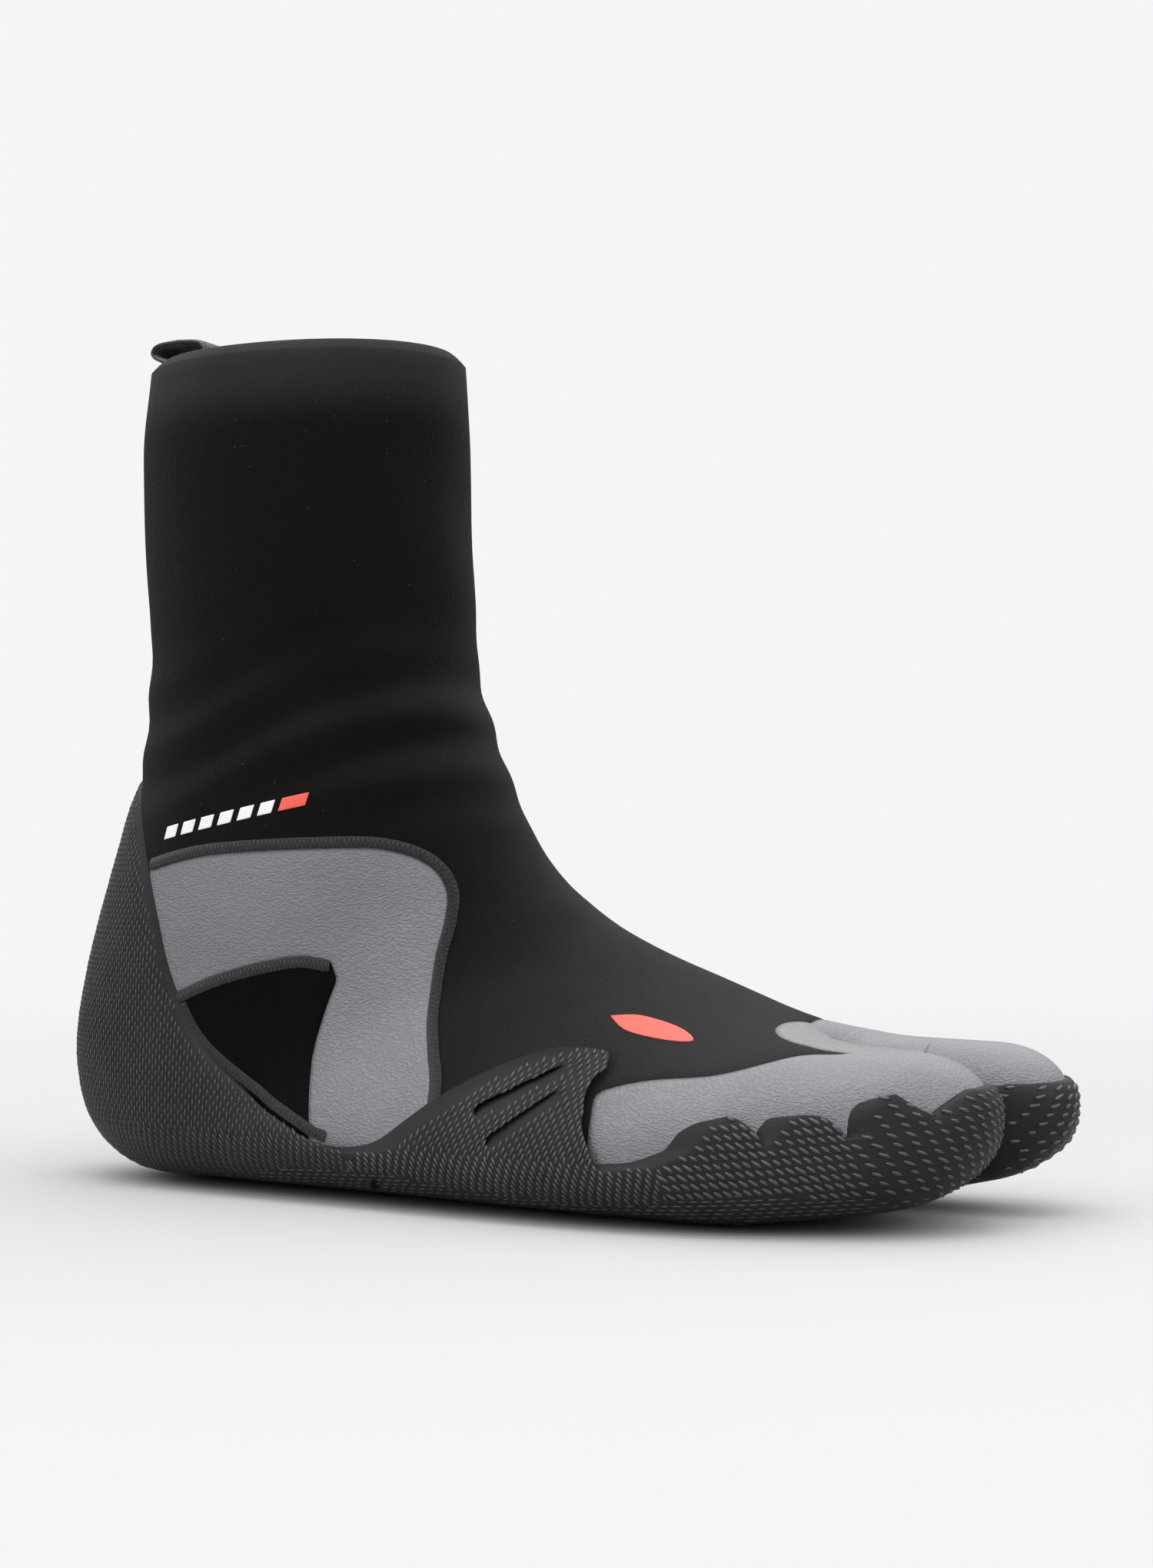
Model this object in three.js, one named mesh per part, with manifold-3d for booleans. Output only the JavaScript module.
// Split-toe neoprene surf boot for the right foot, about EU 42-43.
// Millimetres. +X runs from heel to toes, +Y towards the big toe, +Z up.
// Layers from the outside: moulded rubber outsole, 4 mm neoprene panels, knitted lining.
import * as THREE from "three";
import { mergeVertices } from "three/addons/utils/BufferGeometryUtils.js";
import Module from "manifold-3d";

const wasm = await Module();
wasm.setup();

// ---------------------------------------------------------------- driving sizes
const FOOT_LENGTH = 287; // neoprene skin, heel to big toe tip
const BALL_WIDTH = 98.5;
const ANKLE_HEIGHT = 114; // where the leg begins to lean over the foot
const COLLAR_HEIGHT = 237;
const SHAFT_DEPTH = 97.5; // front to back at the collar
const SHAFT_WIDTH = 72;

const NEOPRENE = 4;
const LINING = 1;
const RUBBER = 2.5; // side walls of the outsole
const SOLE_EXTRA = 2.2; // further rubber underfoot
const CLEARANCE = 0.3; // between layers that are glued on the real boot
const KERF = 0.3; // between panels that are glued edge to edge

const BIG_TOE_SPLIT_Y = 11; // line between the big toe and the other four
const SPLIT_DEPTH = 35; // from the big toe tip back to the crotch of the split
const SPLIT_GAP = 7; // open width between the two toe pockets at their tips
const SMALL_TOES_SHORTER = 10.5; // how far the four-toe pocket stops behind the big toe
const BIG_TOE_ROUND = 20;
const SMALL_TOES_ROUND = 22;

const SEAM_WIDTH = 3.2; // stitched seam bands on the outside
const SEAM_THICKNESS = 0.6;
const BACK_SEAM_WIDTH = 6;
const PRINT_THICKNESS = 0.35;
const SLOT_WIDTH = 1.6; // relief slots in the outsole's side wing
const DRAIN_RADIUS = 2;

const LOOP_WIDTH = 16; // webbing of the pull loop at the back of the collar
const LOOP_THICKNESS = 1.5;
const LOOP_LENGTH = 19; // the open loop, front to back
const LOOP_RISE = 8.6;
const LOOP_ANCHOR_DEPTH = 15; // sewn down this far inside the collar

const ANKLE_BEND_TOP = 142; // the leg turns as one above this height
const ANKLE_BEND_BOTTOM = 103; // and the foot stays as one below this one

// ---------------------------------------------------------------- grading
// The rows and outlines below are drawn on this base last, then graded to the sizes above.
const BASE = { length: 287, ball: 98.5, ankle: 114, collar: 237, depth: 97.5, width: 72 };
const SHAFT_MIDDLE_X = 73;
const long = FOOT_LENGTH / BASE.length;
const wide = BALL_WIDTH / BASE.ball;
const high = ANKLE_HEIGHT / BASE.ankle;
const tall = (COLLAR_HEIGHT - ANKLE_HEIGHT) / (BASE.collar - BASE.ankle);

function smooth(low, top, value) {
  const u = Math.min(Math.max((value - low) / (top - low), 0), 1);
  return u * u * (3 - 2 * u);
}

const shaftShare = (z) => smooth(80, 150, z);

function gradeX(x, z) {
  const shaft = (SHAFT_MIDDLE_X * long) + (x - SHAFT_MIDDLE_X) * (SHAFT_DEPTH / BASE.depth);
  return THREE.MathUtils.lerp(x * long, shaft, shaftShare(z));
}

function gradeZ(z) {
  return z < BASE.ankle ? z * high : ANKLE_HEIGHT + (z - BASE.ankle) * tall;
}

const gradeWidth = (w, z) =>
  w * THREE.MathUtils.lerp(wide, SHAFT_WIDTH / BASE.width, shaftShare(z));

const grade = ([x, z]) => [gradeX(x, z), gradeZ(z)];

// ---------------------------------------------------------------- the last
// Sections from above the collar, down the leg, round the heel and out to the toes.
// Each row: front or top x, z; back or sole x, z; half width lateral, medial;
// height share of the widest level; roundness of the upper and of the lower half.
const ROWS = [
  [122, 262, 24.5, 262, 36, 36, 0.5, 2.1, 2.1],
  [122, 237, 24.5, 237, 36, 36, 0.5, 2.1, 2.1],
  [122, 204, 23.5, 205, 36.5, 36.5, 0.5, 2.1, 2.1],
  [123, 175, 24.5, 174, 36, 36, 0.5, 2.1, 2.1],
  [124.5, 150, 25.5, 144, 35, 35, 0.5, 2.1, 2.1],
  [130, 131, 22, 114, 35.5, 35.5, 0.48, 2.1, 2.1],
  [137, 113.5, 15, 88, 36, 36, 0.45, 2.05, 2.15],
  [145, 98.5, 7.5, 60, 36, 36, 0.42, 2, 2.2],
  [153.5, 88, 5, 36, 35, 35, 0.38, 2, 2.3],
  [162, 81, 12, 16, 35, 34, 0.34, 2, 2.4],
  [170, 75.5, 31, 5, 36, 34, 0.31, 2, 2.6],
  [179, 70.5, 62, 4, 39, 35, 0.29, 2, 2.8],
  [188, 66, 102, 4, 43, 37, 0.28, 2, 3],
  [199, 61, 143, 4, 48, 42, 0.28, 2.05, 3.2],
  [212, 55, 181, 4, 51.5, 47, 0.3, 2.1, 3.3],
  [226, 49, 210, 4.5, 50, 48, 0.34, 2.2, 3.2],
  [240, 46, 234, 7, 45, 47, 0.38, 2.35, 3],
  [254, 45, 254, 10, 38, 46, 0.42, 2.5, 2.8],
  [268, 44.5, 268, 13, 31.5, 45, 0.45, 2.5, 2.6],
  [282, 44, 282, 16, 26, 44, 0.45, 2.5, 2.6],
];
const COLLAR_ROW = 1;
const HEEL_ROW = 8;
const BALL_ROW = 14; // from here on the rows stand TOE_STEP apart
const TOE_STEP = (ROWS[BALL_ROW + 1][0] - ROWS[BALL_ROW][0]) * long;

const gradedRows = ROWS.map(([fx, fz, bx, bz, lateral, medial, ...rest]) => {
  const middle = (fz + bz) / 2;
  const widths = [gradeWidth(lateral, middle), gradeWidth(medial, middle)];
  return [...grade([fx, fz]), ...grade([bx, bz]), ...widths, ...rest];
});

// The sections between two rows, by a Catmull-Rom curve through each column.
function section(t) {
  const last = gradedRows.length - 1;
  const inside = Math.min(Math.max(t, 0), last);
  const i = Math.min(Math.floor(inside), last - 1);
  const f = inside - i;
  const [b, c] = [gradedRows[i], gradedRows[i + 1]];
  const a = i > 0 ? gradedRows[i - 1] : b.map((v, k) => 2 * v - c[k]);
  const d = i < last - 1 ? gradedRows[i + 2] : c.map((v, k) => 2 * v - b[k]);
  const row = b.map((v, k) => {
    const linear = (c[k] - a[k]) * f;
    const square = (2 * a[k] - 5 * v + 4 * c[k] - d[k]) * f ** 2;
    const cube = (3 * v - a[k] - 3 * c[k] + d[k]) * f ** 3;
    return (2 * v + linear + square + cube) / 2;
  });
  const beyond = Math.max(t - last, 0) * TOE_STEP;
  row[0] += beyond;
  row[2] += beyond;
  return row;
}

const rowAtX = (x) => BALL_ROW + (x - gradedRows[BALL_ROW][0]) / TOE_STEP;
const CROTCH_ROW = rowAtX(FOOT_LENGTH - SPLIT_DEPTH);
const PINCH_ROW = CROTCH_ROW - 1.15; // both lobes nearly touch here
const VALLEY_ROW = CROTCH_ROW - 2.8; // the crease between the lobes starts here
const OPEN_ROW = CROTCH_ROW + 0.6; // the gap is fully open here
const PINCH = NEOPRENE + LINING + 1; // how far the lobes still run into each other there

const TO_CROTCH = 27; // sections from the collar to the crotch of the split
const TO_TIP = 7; // further sections to the toe tips
const CROWDING = 0.4; // how much closer the sections stand at the crotch
const ROUND_SIDE = 10; // faces round each side
const ABOVE_COLLAR = -1; // skip for an inner skin that opens the collar

const SIDES = {
  lateral: { sign: -1, tip: FOOT_LENGTH - SMALL_TOES_SHORTER, round: SMALL_TOES_ROUND },
  medial: { sign: 1, tip: FOOT_LENGTH, round: BIG_TOE_ROUND },
};

// How far the two lobes stand apart at the split line; negative while they run into each other.
function lobeGap(t) {
  if (t < PINCH_ROW) return -PINCH;
  if (t < CROTCH_ROW) return -PINCH * (CROTCH_ROW - t) / (CROTCH_ROW - PINCH_ROW);
  return Math.min((t - CROTCH_ROW) / (OPEN_ROW - CROTCH_ROW), 1) * SPLIT_GAP / 2;
}

// One lobe's points at section t: from the top split line round the outside to the sole.
// offset pushes the skin out (or in, where negative); under adds to it on the sole's half.
function lobe(t, side, offset, under, segments) {
  const [fx, fz, bx, bz, lateral, medial, level, roundTop, roundSole] = section(t);
  const { sign, tip, round } = SIDES[side];
  const split = BIG_TOE_SPLIT_Y * smooth(10, 15.5, t);
  const reach = side === "lateral" ? lateral + split : medial - split;
  const gap = lobeGap(t) - (reach - PINCH) * (1 - smooth(VALLEY_ROW, PINCH_ROW, t));
  const width = (reach - gap) / 2 + offset;
  const centre = (reach + gap) / 2;
  const domeStart = tip - round;
  const u = Math.min(Math.max((fx - domeStart) / (round + offset), 0), 1);
  const shrink = (1 - u ** 2.3) ** (1 / 2.3);
  const height = Math.hypot(fx - bx, fz - bz);
  const up = [(fx - bx) / height, (fz - bz) / height];
  const soleShare = smooth(HEEL_ROW - 3, HEEL_ROW + 1, t);
  const above = (1 - level) * height + offset;
  const below = level * height + offset + under * soleShare;
  const k = Math.min(Math.max(centre / width, 0), 1);
  const cut = (p) => Math.atan2(k, Math.max(1 - k ** p, 0) ** (1 / p));
  const start = -cut(roundTop);
  const end = Math.PI + cut(roundSole);
  const points = [];
  for (let j = 0; j <= segments; j++) {
    const angle = start + ((end - start) * j) / segments;
    const [c, s] = [Math.cos(angle), Math.sin(angle)];
    const p = c > 0 ? roundTop : roundSole;
    const rho = (Math.abs(c) ** p + Math.abs(s) ** p) ** (-1 / p);
    const along = (c > 0 ? above : below) * rho * c * shrink;
    points.push([
      bx + up[0] * (level * height + along),
      split + sign * (centre + width * rho * s * shrink),
      bz + up[1] * (level * height + along),
    ]);
  }
  return points;
}

// Sections of one side: down to the crotch, closer together there than at the collar, then
// closing round the toe pocket's tip.
// Every skin shares this spacing, so neighbouring layers have parallel faces.
function sectionRows(side, offset, skip) {
  let crotch = CROTCH_ROW;
  if (offset < 0) crotch += (offset / PINCH) * (CROTCH_ROW - PINCH_ROW);
  else crotch += (offset / (SPLIT_GAP / 2)) * (OPEN_ROW - CROTCH_ROW);
  const rows = [];
  for (let i = skip; i <= TO_CROTCH; i++) {
    const u = i / TO_CROTCH;
    rows.push(COLLAR_ROW + (crotch - COLLAR_ROW) * u * (1 + CROWDING * (1 - u)));
  }
  const { tip, round } = SIDES[side];
  const start = section(crotch)[0];
  const straight = Math.max(tip - round - start, 0);
  const dome = tip + offset - start - straight;
  const total = straight + (dome * Math.PI) / 2;
  for (let i = 1; i <= TO_TIP; i++) {
    const way = (total * i) / TO_TIP;
    const x = way < straight
      ? start + way
      : start + straight + dome * Math.sin((way - straight) / dome);
    rows.push(rowAtX(Math.min(x, tip + offset)));
  }
  return rows;
}

// The closed skin of the boot at an offset, from the collar to both toe tips.
// skip starts it some sections below the collar, or above it where negative.
function skin(offset, { skip = 0, under = 0 } = {}) {
  const toCrotch = TO_CROTCH - skip;
  const segments = ROUND_SIDE;
  const positions = [];
  const triangles = [];
  const add = (p) => positions.push(...p) / 3 - 1;
  const mean = (p, q) => p.map((v, i) => (v + q[i]) / 2);
  const grids = {};
  for (const side of Object.keys(SIDES)) {
    const rows = sectionRows(side, offset, skip);
    grids[side] = rows.map((t) => lobe(t, side, offset, under, segments));
  }
  // Both sides meet on shared points, and the step between them fades out over a quarter of each.
  const tops = [];
  const soles = [];
  for (let i = 0; i <= toCrotch; i++) {
    const [l, m] = [grids.lateral[i], grids.medial[i]];
    const top = mean(l[0], m[0]);
    const sole = i < toCrotch ? mean(l[segments], m[segments]) : top;
    for (const points of [l, m]) {
      const shifts = [top.map((v, k) => v - points[0][k]), sole.map((v, k) => v - points[segments][k])];
      points.forEach((p, j) => {
        const fades = [1 - (4 * j) / segments, 1 - (4 * (segments - j)) / segments];
        fades.forEach((fade, e) => {
          if (fade > 0) shifts[e].forEach((v, k) => (p[k] += v * fade ** 2));
        });
      });
    }
    tops.push(add(top));
    soles.push(i < toCrotch ? add(sole) : tops[i]);
  }
  for (const [side, { sign }] of Object.entries(SIDES)) {
    const grid = grids[side];
    const last = grid.length - 1;
    const ids = grid.map((points, i) => {
      if (i === last) return Array(segments + 1).fill(add(points[0]));
      const row = points.slice(1, -1).map((p) => add(p));
      if (i <= toCrotch) return [tops[i], ...row, soles[i]];
      const inner = add(points[0]);
      return [inner, ...row, inner];
    });
    const turn = sign < 0 ? ([a, b, c]) => [a, b, c] : ([a, b, c]) => [a, c, b];
    const push = (a, b, c) => {
      if (a !== b && b !== c && a !== c) triangles.push(...turn([a, b, c]));
    };
    for (let i = 0; i < last; i++) {
      for (let j = 0; j < segments; j++) {
        push(ids[i][j], ids[i][j + 1], ids[i + 1][j + 1]);
        push(ids[i][j], ids[i + 1][j + 1], ids[i + 1][j]);
      }
    }
    const middle = add(mean(grid[0][0], grid[0][segments]));
    for (let j = 0; j < segments; j++) push(middle, ids[0][j + 1], ids[0][j]);
  }
  return solidOf(positions, triangles);
}

// ---------------------------------------------------------------- solids
function solidOf(positions, triangles) {
  const geometry = new THREE.BufferGeometry();
  geometry.setAttribute("position", new THREE.Float32BufferAttribute(positions, 3));
  geometry.setIndex(triangles);
  return toSolid(geometry);
}

function toSolid(geometry) {
  const bare = geometry.clone();
  bare.deleteAttribute("normal");
  bare.deleteAttribute("uv");
  const merged = mergeVertices(bare, 1e-4);
  const solid = (indices) => new wasm.Manifold(new wasm.Mesh({
    numProp: 3,
    vertProperties: merged.attributes.position.array,
    triVerts: new Uint32Array(indices),
  }));
  const indices = [...merged.index.array];
  const made = solid(indices);
  return made.volume() > 0 ? made : solid(indices.reverse());
}

// A polygon moved outwards by a distance (inwards where negative), corner by corner.
function grow(outline, distance) {
  const points = outline.map(([x, z]) => new THREE.Vector2(x, z));
  const facing = THREE.ShapeUtils.isClockWise(points) ? -1 : 1;
  const n = points.length;
  return points.map((p, i) => {
    const before = p.clone().sub(points[(i + n - 1) % n]).normalize();
    const after = points[(i + 1) % n].clone().sub(p).normalize();
    const middle = before.clone().add(after).normalize();
    const stretch = Math.max(middle.dot(after), 0.4);
    return [
      p.x + (facing * distance * middle.y) / stretch,
      p.y - (facing * distance * middle.x) / stretch,
    ];
  });
}

function extruded(outline, depth) {
  const shape = new THREE.Shape(outline.map(([x, y]) => new THREE.Vector2(x, y)));
  return new THREE.ExtrudeGeometry(shape, { depth, bevelEnabled: false });
}

// A side-view outline (x, z) pushed along Y, and a plan outline (x, y) pushed along Z.
const sidePrism = (outline, y0, y1) =>
  toSolid(extruded(outline, y1 - y0).rotateX(Math.PI / 2).translate(0, y1, 0));
const planPrism = (outline, z0, z1) => toSolid(extruded(outline, z1 - z0).translate(0, 0, z0));

function block(x0, x1, y0, y1, z0, z1) {
  const box = new THREE.BoxGeometry(x1 - x0, y1 - y0, z1 - z0);
  return toSolid(box.translate((x0 + x1) / 2, (y0 + y1) / 2, (z0 + z1) / 2));
}

// A cut leaves slivers beside the piece: the piece is the biggest body.
function biggest(solid) {
  return solid.decompose().sort((a, b) => b.volume() - a.volume())[0];
}

// ---------------------------------------------------------------- outlines in side view
const FAR = 400;
const HALF = BALL_WIDTH + SHAFT_WIDTH; // further out than any side wall
const curve = (points, divisions) =>
  new THREE.SplineCurve(points.map(([x, z]) => new THREE.Vector2(x, z)))
    .getPoints(divisions)
    .map((p) => [p.x, p.y]);

// Top edge of the outsole: heel spike, quarter dip, wing, notch, three scallops, toe cap.
const SPIKE_EDGE = curve([[21, 116], [31, 104], [42, 76], [49, 56], [60, 39.5], [83, 25]], 10);
const QUARTER_DIP = curve([[98, 18], [112, 15], [126, 17], [136, 24]], 5);
const WING_TOP = curve([[145, 31], [162, 40], [177, 45], [187, 44.5]], 6);
const WING_END = curve([[187, 41], [183.5, 36], [184.5, 26], [190, 15.5]], 5);
const SCALLOPS = [
  ...curve([[205, 17.5], [214, 22]], 1),
  ...curve([[217, 27], [223, 31], [229, 28], [232, 23.5]], 4),
  ...curve([[235, 26], [238, 31], [246, 31], [250.5, 26]], 4),
  ...curve([[256, 26.5], [256.5, 34], [261, 37]], 2),
];
const SMALL_TOES_CAP = [[266, 33.5], [270, 31], [276, 37], [300, 37]];
const BIG_TOE_CAP = [[266, 34], [278, 35.5], [300, 35.5]];

function outsoleOutline(cap) {
  const edge = [...SPIKE_EDGE, ...QUARTER_DIP, ...WING_TOP, ...WING_END, ...SCALLOPS, ...cap];
  return [[-60, 116], ...edge, [300, -60], [-60, -60]].map(grade);
}

// Grey quarter panel: a bar round the heel that turns down the side of the arch.
const QUARTER_TOP = curve([[40, 90], [63, 94.5], [103, 96.5], [120, 94.5], [129, 88]], 8);
const QUARTER_FRONT = curve([[130.5, 81], [128.5, 66], [129, 52], [135, 34], [136, 22]], 6);
const QUARTER_INNER = curve([[97, 20], [95, 38], [98, 52], [101, 60]], 5);
const QUARTER_UNDER = curve([[99, 65], [88, 66], [66, 61], [48, 54], [30, 47]], 5);
const heelSide = [[-60, 84], [20, 87], ...QUARTER_TOP, ...QUARTER_FRONT, [136, -60], [-60, -60]];
const windowSide = [[-60, 30], [-60, -60], [97, -60], ...QUARTER_INNER, ...QUARTER_UNDER];
const HEEL_SIDE = heelSide.map(grade);
const WINDOW_SIDE = windowSide.map(grade);

// Grey toe cover in plan: its back edge under the wing, the dark wedge that ends over the
// small toes, and the lobe that reaches back beside the big toe.
const COVER_LATERAL = curve([[184.5, -46], [203, -43], [216, -40], [228, -34.5], [237, -28]], 6);
const COVER_LOBE = curve([[238, -24], [230, -22.5], [223, -17], [221, -8], [223, 15], [221, 32]], 8);
const COVER_MEDIAL = curve([[214, 42], [205, 51]], 1);
const TOE_COVER = [
  [184.5, -90], ...COVER_LATERAL, [249, -22.5], ...COVER_LOBE, ...COVER_MEDIAL, [203, 90], [320, 90], [320, -90],
].map(([x, y]) => [x * long, y * wide]);

// ---------------------------------------------------------------- layers
const shell = (out, thickness) => skin(out).subtract(skin(out - thickness, { skip: ABOVE_COLLAR }));
const neoprene = shell(0, NEOPRENE);
const LINING_OUT = -NEOPRENE - CLEARANCE;
const belowRim = block(-FAR, FAR, -FAR, FAR, -FAR, COLLAR_HEIGHT - 1.5);
const lining = shell(LINING_OUT, LINING).intersect(skin(-NEOPRENE)).intersect(belowRim);

// The wall under the foot is its own panel, sewn to the sides all round under the rubber.
const STROBEL_LEVEL = [[-60, 8], [196, 8], [240, 13], [282, 21], [340, 26]];
const underStrobel = [...STROBEL_LEVEL, [340, -60], [-60, -60]];
const strobelZone = (distance) => sidePrism(grow(underStrobel.map(grade), distance), -FAR, FAR);
const half = KERF / 2;
const lateralSide = (distance) => [-FAR, -distance];
const medialSide = (distance) => [distance, FAR];

const strobel = biggest(neoprene.intersect(strobelZone(-half)));
const walls = neoprene.subtract(strobelZone(half));
const coverZone = (distance) => planPrism(grow(TOE_COVER, distance), -FAR, FAR);
const toeCover = biggest(walls.intersect(coverZone(-half)));
const blackUpper = walls.subtract(coverZone(half)).subtract(sidePrism(grow(HEEL_SIDE, half), -FAR, FAR));

const bendTop = gradeZ(ANKLE_BEND_TOP);
const bendBottom = gradeZ(ANKLE_BEND_BOTTOM);
const level = (low, top) => block(-FAR, FAR, -FAR, FAR, low, top);
const legZone = level(bendTop + half, FAR);
const bendZone = level(bendBottom + half, bendTop - half);
const footZone = level(-FAR, bendBottom - half);

function sidePanels([y0, y1]) {
  const region = walls.intersect(block(-FAR, FAR, y0, y1, -FAR, FAR));
  const inHeel = region.intersect(sidePrism(grow(HEEL_SIDE, -half), -FAR, FAR));
  return {
    quarter: biggest(inHeel.subtract(sidePrism(grow(WINDOW_SIDE, half), -FAR, FAR))),
    window: biggest(inHeel.intersect(sidePrism(grow(WINDOW_SIDE, -half), -FAR, FAR))),
  };
}
const lateralPanels = sidePanels(lateralSide(half));
const medialPanels = sidePanels(medialSide(half));

// ---------------------------------------------------------------- outsole
const rubberOut = CLEARANCE + RUBBER;
const rubberBody = skin(rubberOut, { skip: 4, under: SOLE_EXTRA })
  .subtract(skin(CLEARANCE, { skip: 3 }))
  .subtract(skin(0, { skip: 3 }));
const sides = sidePrism(outsoleOutline(SMALL_TOES_CAP), -FAR, BIG_TOE_SPLIT_Y)
  .add(sidePrism(outsoleOutline(BIG_TOE_CAP), BIG_TOE_SPLIT_Y, FAR));

const SLOTS = [[[153, 28.5], [175, 40]], [[157.5, 21], [175, 33.5]]];
const DRAIN = [117, 7];

function slotCutter([tail, tip]) {
  const [a, b] = [grade(tail), grade(tip)].map(([x, z]) => new THREE.Vector2(x, z));
  const across = b.clone().sub(a).normalize().rotateAround(new THREE.Vector2(), Math.PI / 2);
  const wideEnd = across.clone().multiplyScalar(SLOT_WIDTH / 2);
  const thinEnd = across.clone().multiplyScalar(SLOT_WIDTH / 4);
  const corners = [a.clone().sub(wideEnd), b.clone().sub(thinEnd), b.clone().add(thinEnd), a.clone().add(wideEnd)];
  return corners.map((p) => [p.x, p.y]);
}

function drainCylinder(radius, y0, y1) {
  const [x, z] = grade(DRAIN);
  return toSolid(new THREE.CylinderGeometry(radius, radius, y1 - y0, 16).translate(x, (y0 + y1) / 2, z));
}

let outsole = rubberBody.intersect(sides).intersect(block(-FAR, FAR, -FAR, FAR, 0, FAR));
for (const slot of SLOTS) {
  outsole = outsole.subtract(sidePrism(slotCutter(slot), -FAR, 0));
  outsole = outsole.subtract(sidePrism(slotCutter(slot), 0, FAR));
}
const drainReach = gradeWidth(60, 0);
outsole = outsole.subtract(drainCylinder(DRAIN_RADIUS + CLEARANCE, -drainReach, 0));
const drainPlug = biggest(
  skin(rubberOut - 0.4, { skip: 4 })
    .subtract(skin(2 * CLEARANCE, { skip: 3 }))
    .intersect(drainCylinder(DRAIN_RADIUS, -drainReach, 0)),
);

// ---------------------------------------------------------------- seam bands and prints
const onSkin = (thickness) =>
  skin(CLEARANCE + thickness).subtract(skin(CLEARANCE, { skip: ABOVE_COLLAR }));
const bandLayer = onSkin(SEAM_THICKNESS);
const printLayer = onSkin(PRINT_THICKNESS);

// A strip of one width along an open line, as a closed outline.
function strip(line, width) {
  const points = line.map(([x, z]) => new THREE.Vector2(x, z));
  const left = [];
  const right = [];
  points.forEach((p, i) => {
    const before = points[Math.max(i - 1, 0)];
    const after = points[Math.min(i + 1, points.length - 1)];
    const along = after.clone().sub(before).normalize();
    const side = new THREE.Vector2(-along.y, along.x).multiplyScalar(width / 2);
    left.push([p.x + side.x, p.y + side.y]);
    right.unshift([p.x - side.x, p.y - side.y]);
  });
  return [...left, ...right];
}

// Bands stop short of the rubber, whose edge lies over the same skin.
const rubberClear = (outline) => sidePrism(grow(outline, 2 * CLEARANCE), -FAR, FAR);
const clearOfRubber = rubberClear(outsoleOutline(SMALL_TOES_CAP));
const seamBand = (line, [y0, y1]) =>
  biggest(bandLayer.intersect(sidePrism(strip(line.map(grade), SEAM_WIDTH), y0, y1)).subtract(clearOfRubber));

const QUARTER_SEAM = [...QUARTER_TOP, ...QUARTER_FRONT];
const WINDOW_SEAM = [...QUARTER_INNER, ...QUARTER_UNDER];
const lateralY = [-HALF, -SHAFT_WIDTH / 6];
const medialY = [SHAFT_WIDTH / 6, HALF];

const backSeamBottom = gradeZ(120);
const backSeamTop = COLLAR_HEIGHT - 3;
const backSeamX = gradeX(SHAFT_MIDDLE_X, BASE.collar);
const backSeam = biggest(bandLayer.intersect(
  block(-FAR, backSeamX, -BACK_SEAM_WIDTH / 2, BACK_SEAM_WIDTH / 2, backSeamBottom, backSeamTop),
));

const printOn = (outline) => biggest(printLayer.intersect(sidePrism(outline.map(grade), -HALF, 0)));
const ANKLE_BAR = [[45, 98.5], [80, 106], [80, 109.5], [45, 102]];
const ANKLE_TIP = [[83, 106.6], [95, 109.2], [95, 112.7], [83, 110.1]];
const VAMP_LOZENGE = curve([[181, 53], [189, 53.2], [200, 50.5], [205, 47.5], [198, 47.6], [187, 49.6], [181, 53]], 12);

// ---------------------------------------------------------------- pull loop
// A webbing loop that stands over the rim at the back. Its two ends lie on each other and are
// sewn to the inside of the cuff.
const cuffInside = NEOPRENE + LINING + 2 * CLEARANCE;
const [rimBackX] = grade([24.5, 237]);
const loopX = rimBackX + cuffInside + CLEARANCE + LOOP_THICKNESS + LOOP_WIDTH ** 2 / (2 * SHAFT_WIDTH);
const loopFoot = COLLAR_HEIGHT + 1;

function pullLoop() {
  const outer = [];
  const inner = [];
  const steps = 22;
  const footAngle = 0.12 * Math.PI;
  for (let i = 0; i <= steps; i++) {
    const angle = -Math.PI / 2 + footAngle + (2 * (Math.PI - footAngle) * i) / steps;
    const [c, s] = [Math.cos(angle), Math.sin(angle)];
    const middle = loopFoot + LOOP_RISE / 2;
    outer.push([(LOOP_LENGTH / 2) * c, middle + (LOOP_RISE / 2) * s]);
    inner.unshift([(LOOP_LENGTH / 2 - LOOP_THICKNESS) * c, middle + (LOOP_RISE / 2 - LOOP_THICKNESS) * s]);
  }
  return sidePrism([...outer, ...inner], -LOOP_WIDTH / 2, LOOP_WIDTH / 2).translate([loopX, 0, 0]);
}

// One sewn end of the webbing, lying on the inside of the cuff; depth counts the layers below it.
function loopEnd(depth) {
  const out = -cuffInside - depth * (LOOP_THICKNESS + CLEARANCE);
  const patch = block(-FAR, SHAFT_MIDDLE_X * long, -LOOP_WIDTH / 2, LOOP_WIDTH / 2,
    COLLAR_HEIGHT - 1 - LOOP_ANCHOR_DEPTH, COLLAR_HEIGHT - 1);
  return shell(out, LOOP_THICKNESS).intersect(patch);
}

// ---------------------------------------------------------------- materials
const finish = (color, roughness) => new THREE.MeshStandardMaterial({ color, roughness, metalness: 0 });
const MATERIALS = {
  rubber: finish(0x34373b, 0.62),
  jersey: finish(0x17171a, 0.9),
  smoothskin: finish(0x7b7e83, 0.45),
  sleek: finish(0x101012, 0.6),
  knit: finish(0x1b1c1f, 0.95),
  tape: finish(0x26272a, 0.8),
  webbing: finish(0x1a1b1d, 0.85),
  white_print: finish(0xe6e6e4, 0.5),
  coral_print: finish(0xe2574a, 0.5),
  plug: finish(0x1c1d1f, 0.5),
};

// ---------------------------------------------------------------- assembly
const boot = new THREE.Group();

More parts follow.
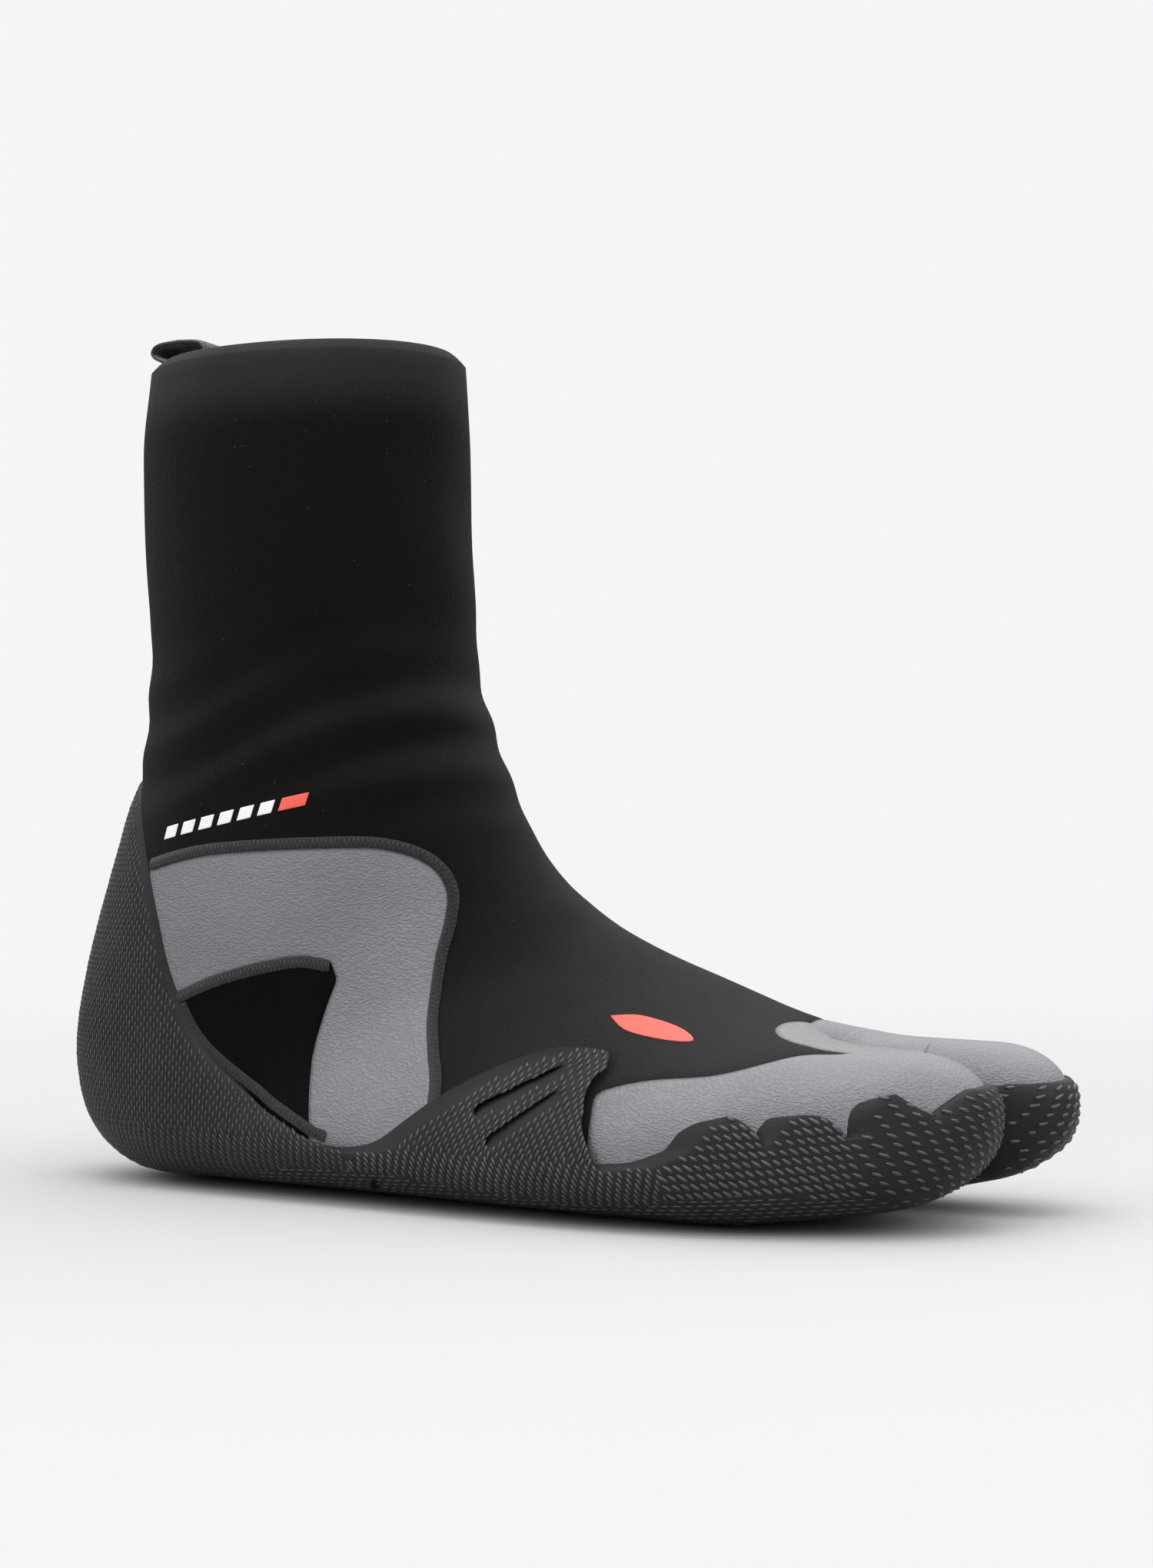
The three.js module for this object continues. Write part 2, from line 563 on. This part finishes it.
function place(name, solid, material) {
  const { vertProperties, triVerts, numProp } = solid.getMesh();
  const positions = [];
  for (let i = 0; i < vertProperties.length; i += numProp) {
    positions.push(vertProperties[i], vertProperties[i + 1], vertProperties[i + 2]);
  }
  const geometry = new THREE.BufferGeometry();
  geometry.setAttribute("position", new THREE.Float32BufferAttribute(positions, 3));
  geometry.setIndex([...triVerts]);
  geometry.computeVertexNormals();
  const mesh = new THREE.Mesh(geometry, MATERIALS[material]);
  mesh.name = name;
  boot.add(mesh);
}

place("outsole", biggest(outsole), "rubber");
place("strobel_base", strobel, "jersey");
place("leg_panel", biggest(blackUpper.intersect(legZone)), "jersey");
place("ankle_band", biggest(blackUpper.intersect(bendZone)), "jersey");
place("vamp_panel", biggest(blackUpper.intersect(footZone)), "jersey");
place("lateral_quarter_panel", lateralPanels.quarter, "smoothskin");
place("lateral_window_panel", lateralPanels.window, "sleek");
place("medial_quarter_panel", medialPanels.quarter, "smoothskin");
place("medial_window_panel", medialPanels.window, "sleek");
place("toe_cover", toeCover, "smoothskin");
place("leg_lining", biggest(lining.intersect(legZone)), "knit");
place("ankle_lining", biggest(lining.intersect(bendZone)), "knit");
place("foot_lining", biggest(lining.intersect(footZone)), "knit");
place("lateral_quarter_seam", seamBand(QUARTER_SEAM, lateralY), "tape");
place("medial_quarter_seam", seamBand(QUARTER_SEAM, medialY), "tape");
place("lateral_window_seam", seamBand(WINDOW_SEAM, lateralY), "tape");
place("medial_window_seam", seamBand(WINDOW_SEAM, medialY), "tape");
place("back_seam_tape", backSeam, "tape");
place("ankle_mark_bar", printOn(ANKLE_BAR), "white_print");
place("ankle_mark_tip", printOn(ANKLE_TIP), "coral_print");
place("vamp_mark", printOn(VAMP_LOZENGE), "coral_print");
place("drain_plug", drainPlug, "plug");
place("pull_loop", pullLoop(), "webbing");
place("loop_end_lower", loopEnd(0), "webbing");
place("loop_end_upper", loopEnd(1), "webbing");

// The origin is the middle of the whole boot's footprint, on the ground.
const extent = new THREE.Box3().setFromObject(boot);
boot.position.set(-(extent.min.x + extent.max.x) / 2, -(extent.min.y + extent.max.y) / 2, -extent.min.z);

export default boot;
